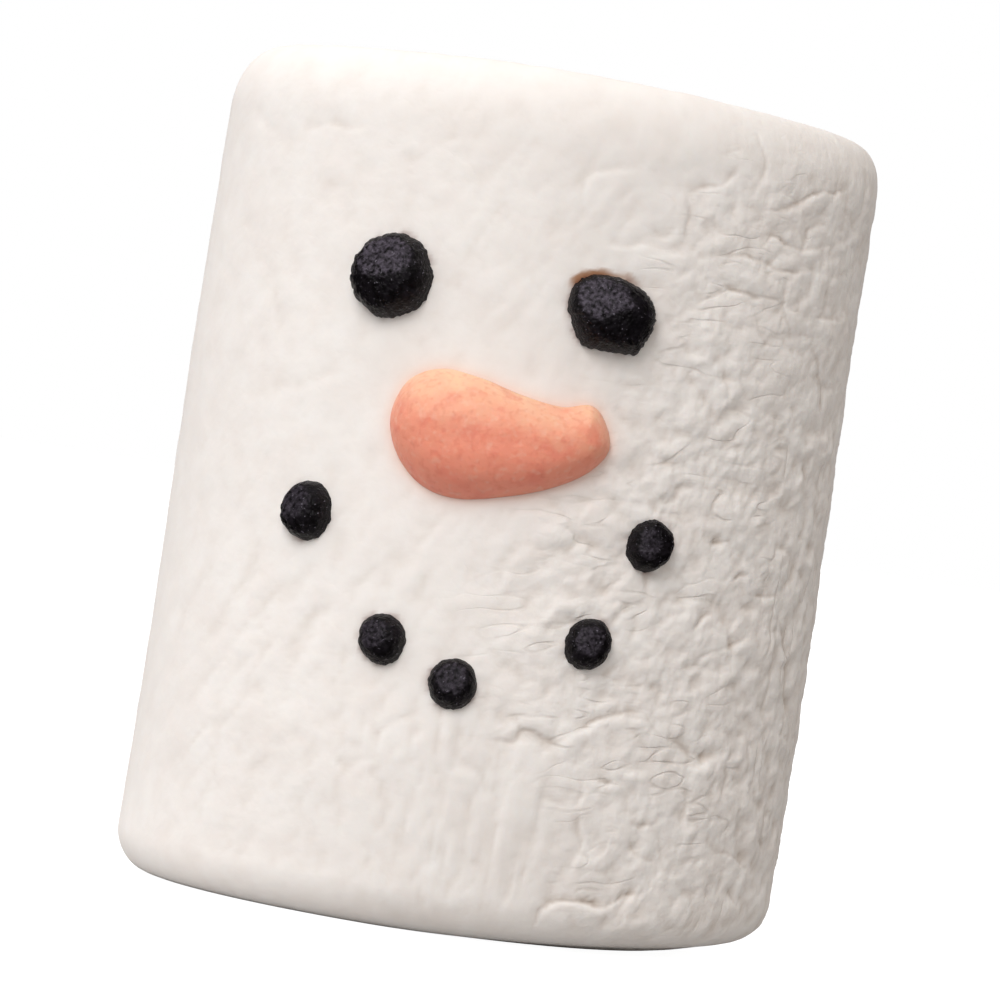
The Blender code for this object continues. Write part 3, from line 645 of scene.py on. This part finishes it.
def make_body():
    """The marshmallow's skin as one closed mesh, marked where it is stained, where its hollows get
    painted shade, and where it is creased.
    """
    grain = Grain(SEED)
    angle, radius, height, out, rise = body_rows()
    relief, skin = skin_relief(np.tile(angle, len(radius)), height.ravel(), grain)
    relief = even_out(relief.reshape(radius.shape), angle)
    radius = radius + relief * out
    height = height + relief * rise
    skin = {name: values.reshape(radius.shape) for name, values in skin.items()}
    close = columns_close(angle)
    # The hollows of the relief are marked, to be coloured darker: painted shade.
    skin["hollow"] = hollows(relief * out) * (BACK_HOLLOWS + (1.0 - BACK_HOLLOWS) * close)
    skin["fold_plain"] *= BACK_FOLDS + (1.0 - BACK_FOLDS) * close
    rings = []
    marks = {name: [] for name in skin}

    def add_ring(points, row=None):
        rings.append(points)
        for name, values in skin.items():
            marks[name].append(np.zeros(len(points)) if row is None else values[row])

    add_ring(np.zeros((1, 3)))
    for number in range(BASE_RINGS):
        share = (number + 1) / (BASE_RINGS + 1)
        step = step_for(share)
        inner = radius[0][::step] * share
        add_ring(ring_points(angle[::step], inner, np.zeros(len(inner))))
    for row in range(len(radius)):
        add_ring(ring_points(angle, radius[row], height[row]), row)
    for number in reversed(range(TOP_RINGS)):
        share = (number + 1) / (TOP_RINGS + 1)
        step = step_for(share)
        angles, inner = angle[::step], radius[-1][::step] * share
        places = ring_points(angles, inner, np.zeros(len(inner)))
        cells = grain.warp(places, 2.6, 0.6)
        bumps = TOP_SCALES["height"] * grain.cushions(cells, TOP_SCALES["size"], TOP_SCALES["tilt"])
        bumps += TOP_SWELL["height"] * (grain.clouds(places, TOP_SWELL["size"], 2) - 1.0)
        level = BODY_HEIGHT + (height[-1][::step] - BODY_HEIGHT) * share ** 2
        dished = bumps * (1.0 - share ** 8) - TOP_DISH * (1.0 - share ** 2)
        add_ring(ring_points(angles, inner, level + dished))
    add_ring(np.array([[0.0, 0.0, rings[-1][:, 2].mean()]]))

    mesh = ring_mesh("marshmallow_body", rings)
    marks = {name: np.concatenate(values) for name, values in marks.items()}
    marks.update(skin_marks(np.concatenate(rings), grain))
    for name, values in marks.items():
        mark_points(mesh, name, values)
    return link_piece("marshmallow_body", mesh)


def skin_marks(points, grain):
    """Where the skin is puckered or stained by the icing, from 0 to 1."""
    angle = np.arctan2(points[:, 0], -points[:, 1])
    along, up = angle * RADIUS, points[:, 2]
    reach, own = icing_reach(along, up)
    uneven = grain.clouds(around(angle, up), 0.7, 3)
    bleed = np.exp(-np.clip(reach, 0.0, None) / BLEED_WIDTH) * smooth_step(uneven, -0.3, 0.8)
    bleed *= own["nose"] > 0.6
    brown = smooth_step(BROWN["width"] - own["eye_right"] + 0.14 * uneven, 0.0, 0.22)
    brown *= smooth_step(up + 0.5 * along, *BROWN["above"])
    brown *= smooth_step(BROWN["reach"] - np.abs(along - BROWN["middle"]), 0.0, 0.7)
    brown *= 1.0 - 0.5 * smooth_step(along, *BROWN["fade"])
    return {"puckered": puckered(along, up)[0], "bleed": bleed, "brown": brown,
            "blush": np.exp(-np.clip(own["nose"], 0.0, None) / BLUSH_WIDTH)}


def link_piece(name, data):
    piece = bpy.data.objects.new(name, data)
    bpy.context.scene.collection.objects.link(piece)
    return piece


def make_icing(name, place, outline, lift_at, rings, relief_at):
    """A domed piece of icing on the wall, and its points as (along, up, height) from its place. The
    outline and what the functions get are millimetres from there too; lift_at also gets each point's
    share of the way to the edge."""
    count = len(outline)
    shares = np.sin(math.pi / 2 * np.arange(1, rings + 1) / rings)
    levels = [(share, True) for share in shares] + [(share, False) for share in (0.97, 0.6, 0.3)]
    layers = []
    for share, is_top in levels:
        arc, rise = (outline * share).T
        lift = np.full(count, -SUNK)
        if is_top:
            lift = lift_at(arc, rise, share) - SUNK * share ** 6
            lift += relief_at(arc, rise, lift) * (1.0 - share ** 12)
        layers.append((arc, rise, lift))
    middle = np.zeros(1)
    layers = [(middle, middle, lift_at(middle, middle, 0.0)), *layers, (middle, middle, middle - SUNK)]
    points = [ring_points((arc + place[0]) / RADIUS, RADIUS + lift, rise + place[1])
              for arc, rise, lift in layers]
    piece = link_piece(name, ring_mesh(name, points, way=-1))
    return piece, np.concatenate([np.stack(layer, 1) for layer in layers])


def make_dot(name, dot, number):
    """A piped dot of black icing that dried with a sugary grain. Its first flat, which faces up towards
    the lamp, is marked paler: scuffs with a painted highlight.
    """
    is_eye = name.startswith("eye")
    count, rings = (260, 70) if is_eye else (150, 40)
    grain = Grain(SEED + 1 + number)
    angle = np.arange(count) / count * 2 * math.pi
    edge = np.stack((np.cos(angle), np.sin(angle), np.zeros(count)), 1)
    ragged = 0.035 * grain.clouds(edge, 0.6, 3) + 0.03 * grain.clouds(edge, 0.11 if is_eye else 0.2, 2)
    if "outline" in dot:
        outline = closed_curve(dot["outline"][::-1], count)
    else:
        x, y = (edge[:, :2] * dot["size"] / 2).T
        lean = math.radians(dot["lean"])
        outline = np.stack((x * math.cos(lean) - y * math.sin(lean),
                            x * math.sin(lean) + y * math.cos(lean)), 1)
    outline = outline * (1.0 + ragged)[:, None]

    def flat_at(flat, arc, rise):
        towards, top, slope = flat
        turn = math.radians(towards)
        return top + 0.12 - slope * (arc * math.cos(turn) + rise * math.sin(turn))

    def lift_at(arc, rise, share):
        lift = np.full(len(arc), (dot["height"] + ON_SKIN) * (1.0 - share ** 2.4) ** 0.5)
        for flat in dot["flats"]:
            over = (lift - flat_at(flat, arc, rise)) / FLAT_BLEND
            lift = lift - FLAT_BLEND * np.log1p(np.exp(over))
        return lift

    def relief_at(arc, rise, lift):
        places = np.stack((arc, rise, lift), 1)
        return 0.045 * grain.clouds(places, 0.42, 4, 0.7)

    piece, places = make_icing(name + "_icing", dot["at"], outline, lift_at, rings, relief_at)
    arc, rise, lift = places.T
    off_flat = np.abs(lift - flat_at(dot["flats"][0], arc, rise))
    # The paler mark on the first flat, which faces the lamp, is partly scuffs and partly painted
    # highlight.
    scuff_and_sheen = (0.85 if is_eye else 0.45) * (1.0 - smooth_step(off_flat, 0.08, 0.15))
    mark_points(piece.data, "scuff_and_sheen", scuff_and_sheen)
    return piece


def make_nose():
    """The carrot nose, a smooth fill of orange icing that thins towards its tip."""
    grain = Grain(SEED + 30)
    outline = closed_curve(NOSE_OUTLINE, 300) - np.array(NOSE_AT)
    loop = np.concatenate((outline, outline[:1]))
    round_end, tip = np.array(NOSE_ENDS) - np.array(NOSE_AT)

    def lift_at(arc, rise, share):
        from_edge = distance_to_line(arc, rise, loop)
        to_tip = (arc - round_end[0]) / (tip[0] - round_end[0])
        height = np.interp(to_tip, (0.0, 1.0), NOSE_HEIGHTS) + ON_SKIN
        inset = np.clip(from_edge / np.interp(to_tip, (0.0, 1.0), NOSE_HALF_WIDTHS), 0.0, 1.0)
        return height * (1.0 - (1.0 - inset) ** 2) ** 0.7

    def relief_at(arc, rise, lift):
        places = np.stack((arc, rise, lift), 1)
        return 0.05 * grain.clouds(places, 1.5, 2) + 0.012 * grain.clouds(places, 0.3, 3)

    return make_icing("carrot_nose", NOSE_AT, outline, lift_at, 90, relief_at)[0]


def colour(code):
    """Linear colour from an sRGB hex value."""
    values = [int(code[start:start + 2], 16) / 255 for start in (1, 3, 5)]
    return (*((v / 12.92 if v <= 0.04045 else ((v + 0.055) / 1.055) ** 2.4) for v in values), 1.0)


def add_node(tree, kind, inputs=None, **settings):
    """Adds a node with its settings, and fills its inputs with values or other nodes' outputs."""
    node = tree.nodes.new("ShaderNode" + kind)
    for name, value in settings.items():
        setattr(node, name, value)
    for name, value in (inputs or {}).items():
        if isinstance(value, bpy.types.NodeSocket):
            tree.links.new(value, node.inputs[name])
        else:
            node.inputs[name].default_value = value
    return node


def new_material(name):
    """An empty material, what adds nodes to it, and the place that its patterns go by, in
    millimetres."""
    material = bpy.data.materials.new(name)
    material.use_nodes = True
    material.node_tree.nodes.clear()
    add = partial(add_node, material.node_tree)
    place = add("TexCoord").outputs["Object"]
    in_mm = add("VectorMath", {0: place, "Scale": 1 / METRES}, operation="SCALE")
    return material, add, in_mm.outputs[0]


def marshmallow_skin():
    """Gelatine foam in a dusting of starch: matte and off-white, and slightly see-through at its thin
    edges. Its hollows and its crease and fold lines are greyer, a painted shade. Starch grains of 0.02
    mm are too fine to show, so the dusting is drawn as thicker and thinner patches of 2.2 mm."""
    material, add, place = new_material("marshmallow_gelatine_foam")
    dust = add("TexNoise", {"Vector": place, "Scale": 1 / 2.2, "Detail": 5.0, "Roughness": 0.6})
    thick = add("MapRange", {"Value": dust.outputs["Fac"], "From Min": 0.3, "From Max": 0.7})
    layers = [(thick.outputs[0], "#faf6f2")]
    # The first mark darkens the skin's hollows, a painted shade; the other three are stains from the
    # icing.
    for mark, code, strength in (("hollow", "#cabcae", 0.8), ("blush", "#f6bfa2", 0.35),
                                 ("brown", "#a06a38", 0.9), ("bleed", "#7a4636", 0.6)):
        mask = add("Attribute", attribute_name=mark)
        amount = add("Math", {0: mask.outputs["Fac"], 1: strength}, operation="MULTIPLY")
        layers.append((amount.outputs[0], code))
    # Painted shade: a darker colour along each crease and fold line, where its narrow cleft would lie
    # in shade. The same lines sink the bump below.
    lines = []
    for name, thin, shade_strength, code in (("crease", 0.16, 0.30, "#a8978a"), ("fold", 0.17, 0.20, "#b3a598")):
        way = add("Attribute", attribute_name=name + "_way")
        plain = add("Attribute", attribute_name=name + "_plain")
        apart = add("Math", {0: way.outputs["Fac"]}, operation="ABSOLUTE")
        near = add("MapRange", {"Value": apart.outputs[0], "From Min": 0.01, "From Max": thin,
                                "To Min": 1.0, "To Max": 0.0}, interpolation_type="SMOOTHSTEP")
        line = add("Math", {0: near.outputs[0], 1: plain.outputs["Fac"]}, operation="MULTIPLY")
        line_shade = add("Math", {0: line.outputs[0], 1: shade_strength}, operation="MULTIPLY")
        layers.append((line_shade.outputs[0], code))
        lines.append(line.outputs[0])
    either = add("Math", {0: lines[0], 1: lines[1]}, operation="MAXIMUM")

    # Bump: the lines above, and puckers of 1 mm and 0.4 mm that are finer than the mesh
    mask = add("Attribute", attribute_name="puckered")
    pucker = add("MapRange", {"Value": mask.outputs["Fac"], "To Min": 0.3, "To Max": 1.0})
    wrung = add("TexNoise", {"Vector": place, "Scale": 1 / 1.0, "Detail": 2.0, "Roughness": 0.5,
                             "Distortion": 0.2})
    centred = add("Math", {0: wrung.outputs["Fac"], 1: 0.5}, operation="SUBTRACT")
    folded = add("Math", {0: centred.outputs[0]}, operation="ABSOLUTE")
    fine = add("TexNoise", {"Vector": place, "Scale": 1 / 0.4, "Detail": 2.0, "Roughness": 0.5})
    both = add("Math", {0: folded.outputs[0], 1: 3.0, 2: fine.outputs["Fac"]}, operation="MULTIPLY_ADD")
    rough = add("Math", {0: both.outputs[0], 1: pucker.outputs[0]}, operation="MULTIPLY")
    height = add("Math", {0: either.outputs[0], 1: -0.8, 2: rough.outputs[0]}, operation="MULTIPLY_ADD")
    bump = add("Bump", {"Height": height.outputs[0], "Strength": 1.0, "Distance": 0.03 * METRES})
    shade = colour("#f5efea")
    for mask, code in layers:
        mix = add("Mix", {"Factor": mask, 6: shade, 7: colour(code)}, data_type="RGBA")
        shade = mix.outputs[2]
    surface = add("BsdfPrincipled", {
        "Base Color": shade, "Roughness": 0.85, "IOR": 1.4, "Specular IOR Level": 0.25,
        "Subsurface Weight": 0.1, "Subsurface Radius": (1.0, 0.8, 0.65),
        "Subsurface Scale": 0.25 * METRES, "Normal": bump.outputs[0]})
    add("OutputMaterial", {"Surface": surface.outputs[0]})
    return material


def black_icing():
    """Black royal icing, dried: near black and dull. Each dot's first flat, which faces up towards the
    lamp,
    is greyer: scuffs and a painted highlight. A few pale violet crystals are painted glints. Its sugar
    is ground to 0.05 mm, too fine to show, so it is drawn at 0.13 mm."""
    material, add, place = new_material("black_royal_icing")
    blotch = add("TexNoise", {"Vector": place, "Scale": 1 / 0.3, "Detail": 4.0})
    spread = add("MapRange", {"Value": blotch.outputs["Fac"], "From Min": 0.4, "From Max": 0.75})
    mask = add("Attribute", attribute_name="scuff_and_sheen")
    powder = add("TexNoise", {"Vector": place, "Scale": 1 / 0.17, "Detail": 3.0})
    worn = add("MapRange", {"Value": powder.outputs["Fac"], "From Min": 0.35, "From Max": 0.65})
    dusty_sheen = add("Math", {0: mask.outputs["Fac"], 1: worn.outputs[0]}, operation="MULTIPLY")
    # The pale crystals are painted glints: sparkle of the sugar grains put into the base colour.
    grains = add("TexNoise", {"Vector": place, "Scale": 1 / 0.13, "Detail": 2.0})
    crystal_glints = add("MapRange", {"Value": grains.outputs["Fac"], "From Min": 0.66,
                                "From Max": 0.74, "To Max": 0.5})
    # The grey on each dot's first flat is partly scuffs and partly a painted highlight where that flat
    # faces the lamp.
    shade = colour("#0c090b")
    for mask, code in ((spread, "#1d181f"), (dusty_sheen, "#59525e"), (crystal_glints, "#8c8794")):
        mix = add("Mix", {"Factor": mask.outputs[0], 6: shade, 7: colour(code)}, data_type="RGBA")
        shade = mix.outputs[2]
    bump = add("Bump", {"Height": grains.outputs["Fac"], "Strength": 1.0, "Distance": 0.06 * METRES})
    gloss = add("MapRange", {"Value": blotch.outputs["Fac"], "From Min": 0.35,
                             "From Max": 0.65, "To Min": 0.4, "To Max": 0.55})
    surface = add("BsdfPrincipled", {
        "Base Color": shade, "Roughness": gloss.outputs[0], "IOR": 1.5, "Specular IOR Level": 0.2,
        "Normal": bump.outputs[0]})
    add("OutputMaterial", {"Surface": surface.outputs[0]})
    return material


def orange_icing():
    """Orange icing set to a satin skin with pinholes: salmon, paler and yellower along its top, partly
    its own colour and partly painted light from above, with redder and paler specks of undissolved
    colour."""
    material, add, place = new_material("orange_set_icing")
    axes = add("SeparateXYZ", {0: place})
    # Paler and yellower towards the top: partly the icing's own colour, partly painted light from
    # above.
    low, high = (NOSE_AT[1] + end for end in NOSE_COLOUR_SPAN)
    rise = add("MapRange", {"Value": axes.outputs["Z"], "From Min": low, "From Max": high})
    cloudy = add("TexNoise", {"Vector": place, "Scale": 1 / 1.3, "Detail": 4.0})
    drift = add("MapRange", {"Value": cloudy.outputs["Fac"], "To Min": -0.3, "To Max": 0.3})
    mixed = add("Math", {0: rise.outputs[0], 1: drift.outputs[0]}, operation="ADD")
    tone = add("ValToRGB", {"Fac": mixed.outputs[0]})
    low_end, high_end = tone.color_ramp.elements
    low_end.color, high_end.color = colour("#ff9e86"), colour("#ffcdaa")
    tone.color_ramp.elements.new(0.55).color = colour("#fba388")
    shade = tone.outputs["Color"]
    for size, start, end, code, strength in ((0.30, 0.52, 0.74, "#dc6a55", 0.26),
                                             (1.1, 0.56, 0.70, "#e37263", 0.28),
                                             (0.35, 0.56, 0.74, "#ffd3bb", 0.25)):
        specks = add("TexNoise", {"Vector": place, "Scale": 1 / size, "Detail": 1.0})
        share = add("MapRange", {"Value": specks.outputs["Fac"], "From Min": start,
                                 "From Max": end, "To Max": strength})
        mix = add("Mix", {"Factor": share.outputs[0], 6: shade, 7: colour(code)}, data_type="RGBA")
        shade = mix.outputs[2]
    pits = add("TexNoise", {"Vector": place, "Scale": 1 / 0.2, "Detail": 3.0})
    bump = add("Bump", {"Height": pits.outputs["Fac"], "Strength": 0.5, "Distance": 0.04 * METRES})
    surface = add("BsdfPrincipled", {
        "Base Color": shade, "Roughness": 0.5, "IOR": 1.45, "Specular IOR Level": 0.35,
        "Subsurface Weight": 0.35, "Subsurface Radius": (1.0, 0.45, 0.25),
        "Subsurface Scale": 0.5 * METRES, "Normal": bump.outputs[0]})
    add("OutputMaterial", {"Surface": surface.outputs[0]})
    return material


def stage_paper():
    """Matte white paper, a little greyer away from the marshmallow, and white to the camera."""
    material, add, place = new_material("stage_white_paper")
    speckle = add("TexNoise", {"Vector": place, "Scale": 1 / 4.0})
    tone = add("MapRange", {"Value": speckle.outputs["Fac"], "To Min": 0.55, "To Max": 0.6})
    apart = add("VectorMath", {0: place}, operation="LENGTH")
    open_air = add("MapRange", {"Value": apart.outputs["Value"],
                                "From Min": FLOOR_RING[0], "From Max": FLOOR_RING[1]})
    shade = add("Mix", {"Factor": open_air.outputs[0], 6: colour("#c4c4c4"),
                        7: colour("#a2a2a2")}, data_type="RGBA")
    seen = add("LightPath")
    glow = add("Math", {0: seen.outputs["Is Camera Ray"], 1: FLOOR_GLOW}, operation="MULTIPLY")
    surface = add("BsdfPrincipled", {
        "Base Color": shade.outputs[2], "Roughness": tone.outputs[0], "Specular IOR Level": 0.0,
        "Emission Color": colour("#ffffff"), "Emission Strength": glow.outputs[0]})
    add("OutputMaterial", {"Surface": surface.outputs[0]})
    return material


def make_stage():
    """A pale floor far wider than any view."""
    reach = FLOOR_REACH * METRES
    mesh = bpy.data.meshes.new("floor")
    corners = [(x * reach, y * reach, 0.0) for x, y in ((-1, -1), (1, -1), (1, 1), (-1, 1))]
    mesh.from_pydata(corners, [], [(0, 1, 2, 3)])
    mesh.materials.append(stage_paper())
    floor = link_piece("floor", mesh)
    floor.visible_glossy = False


def make_sky():
    """Soft light all round, stronger from the left and a little from above, and white to the camera.
    It shows in no reflection, so that the black icing stays black."""
    world = bpy.data.worlds.new("studio")
    bpy.context.scene.world = world
    world.use_nodes = True
    world.cycles_visibility.glossy = False
    world.node_tree.nodes.clear()
    add = partial(add_node, world.node_tree)
    direction = add("TexCoord").outputs["Generated"]
    towards = add("VectorMath", {0: direction, 1: SKY_BRIGHT_SIDE}, operation="DOT_PRODUCT")
    level = add("VectorMath", {0: towards.outputs["Value"], 1: SKY_SLOPE, 2: SKY_LEVEL},
          operation="MULTIPLY_ADD")
    lit = add("Background", {"Color": level.outputs[0]})
    seen = add("Background", {"Color": (1.0, 1.0, 1.0, 1.0), "Strength": 1.0})
    ray = add("LightPath")
    mixed = add("MixShader", {0: ray.outputs["Is Camera Ray"], 1: lit.outputs[0], 2: seen.outputs[0]})
    add("OutputWorld", {"Surface": mixed.outputs[0]})


def make_lamp():
    """A wide, even lamp far away, from the upper front and a little from the left."""
    lamp = bpy.data.lights.new("key_lamp", "SUN")
    lamp.energy = KEY_LAMP["strength"]
    lamp.angle = KEY_LAMP["spread"]
    lamp.color = KEY_LAMP["tint"]
    holder = link_piece("key_lamp", lamp)
    left, front, up = KEY_LAMP["from"]
    holder.rotation_mode = "QUATERNION"
    holder.rotation_quaternion = Vector((-left, -front, up)).to_track_quat("Z", "Y")


def make_camera():
    """The photographer's camera: level with the middle of the marshmallow, and rolled."""
    camera = bpy.data.cameras.new("camera")
    camera.sensor_width = SENSOR_WIDTH
    camera.lens = FOCAL_PIXELS / PHOTO_SIZE * SENSOR_WIDTH
    camera.clip_start = 0.01
    camera.clip_end = 20.0
    holder = link_piece("camera", camera)
    level = Matrix.Rotation(math.pi / 2, 4, "X")
    roll = Matrix.Rotation(PHOTO_LEAN, 4, "Z")
    place = Matrix.Translation((0.0, -CAMERA_DISTANCE * METRES, CAMERA_HEIGHT * METRES))
    holder.matrix_world = place @ level @ roll
    bpy.context.scene.camera = holder


def dress(piece, node, material):
    piece.data.materials.append(material)
    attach(piece, "root")
    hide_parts(node)


def build():
    dress(make_body(), "marshmallow", marshmallow_skin())
    black = black_icing()
    for number, (name, dot) in enumerate(DOTS.items()):
        dress(make_dot(name, dot, number), name, black)
    dress(make_nose(), "nose", orange_icing())
    make_stage()
    make_sky()
    make_lamp()
    make_camera()
    bpy.context.scene.view_settings.view_transform = "Standard"


build()
